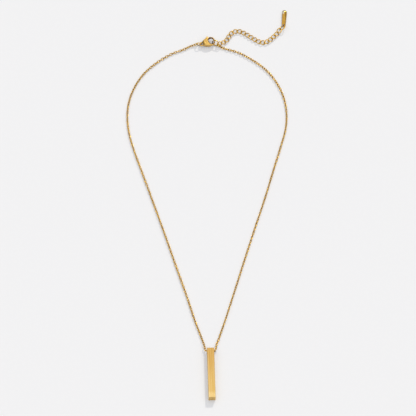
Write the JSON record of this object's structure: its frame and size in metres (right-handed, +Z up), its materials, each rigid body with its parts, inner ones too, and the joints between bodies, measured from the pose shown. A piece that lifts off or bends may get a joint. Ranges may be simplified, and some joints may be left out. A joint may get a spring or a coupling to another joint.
{
  "type": "bar pendant necklace",
  "caption": "Slim square bar threaded on a fine cable chain, with a lobster clasp, a curb extender and a small drop tag, lying open on a flat surface.",
  "frame": {"origin": "centre of the bar's flat underside, on the surface that the necklace lies on", "axes": "+Y along the bar towards the neck loop and the clasp, +Z up from the surface, +X to the right as the picture shows it"},
  "size_m": [0.0926, 0.2446, 0.004],
  "materials": {
    "bar": "brushed gold plate",
    "fine_chain": "polished gold plate",
    "clasp": "polished gold plate",
    "lever": "polished gold plate",
    "rings": "polished gold plate",
    "extender": "polished gold plate",
    "tag": "polished gold plate"
  },
  "bodies": {
    "necklace": {"bar": "bar", "chain_left": "fine_chain", "chain_right": "fine_chain", "chain_end_left": "fine_chain", "chain_end_right": "fine_chain", "clasp_body": "clasp", "clasp_rivet": "clasp", "tail_ring": "rings", "end_ring": "rings", "extender_link_01": "extender", "extender_link_02": "extender", "extender_link_03": "extender", "extender_link_04": "extender", "extender_link_05": "extender", "extender_link_06": "extender", "extender_link_07": "extender", "extender_link_08": "extender", "extender_link_09": "extender", "extender_link_10": "extender", "extender_link_11": "extender", "extender_link_12": "extender", "extender_link_13": "extender", "extender_link_14": "extender", "extender_link_15": "extender", "extender_link_16": "extender", "extender_link_17": "extender", "extender_link_18": "extender", "tag_ring": "rings", "tag": "tag"},
    "lever": {"clasp_lever": "lever"}
  },
  "joints": [
    {"name": "lever_turn", "type": "hinge", "parent": "necklace", "child": "lever", "pos_m": [0.00333, 0.20878, 0.00168], "axis": [0, 0, 1], "range_deg": [0, 20], "stiffness_Nm_per_rad": 0.005}
  ]
}
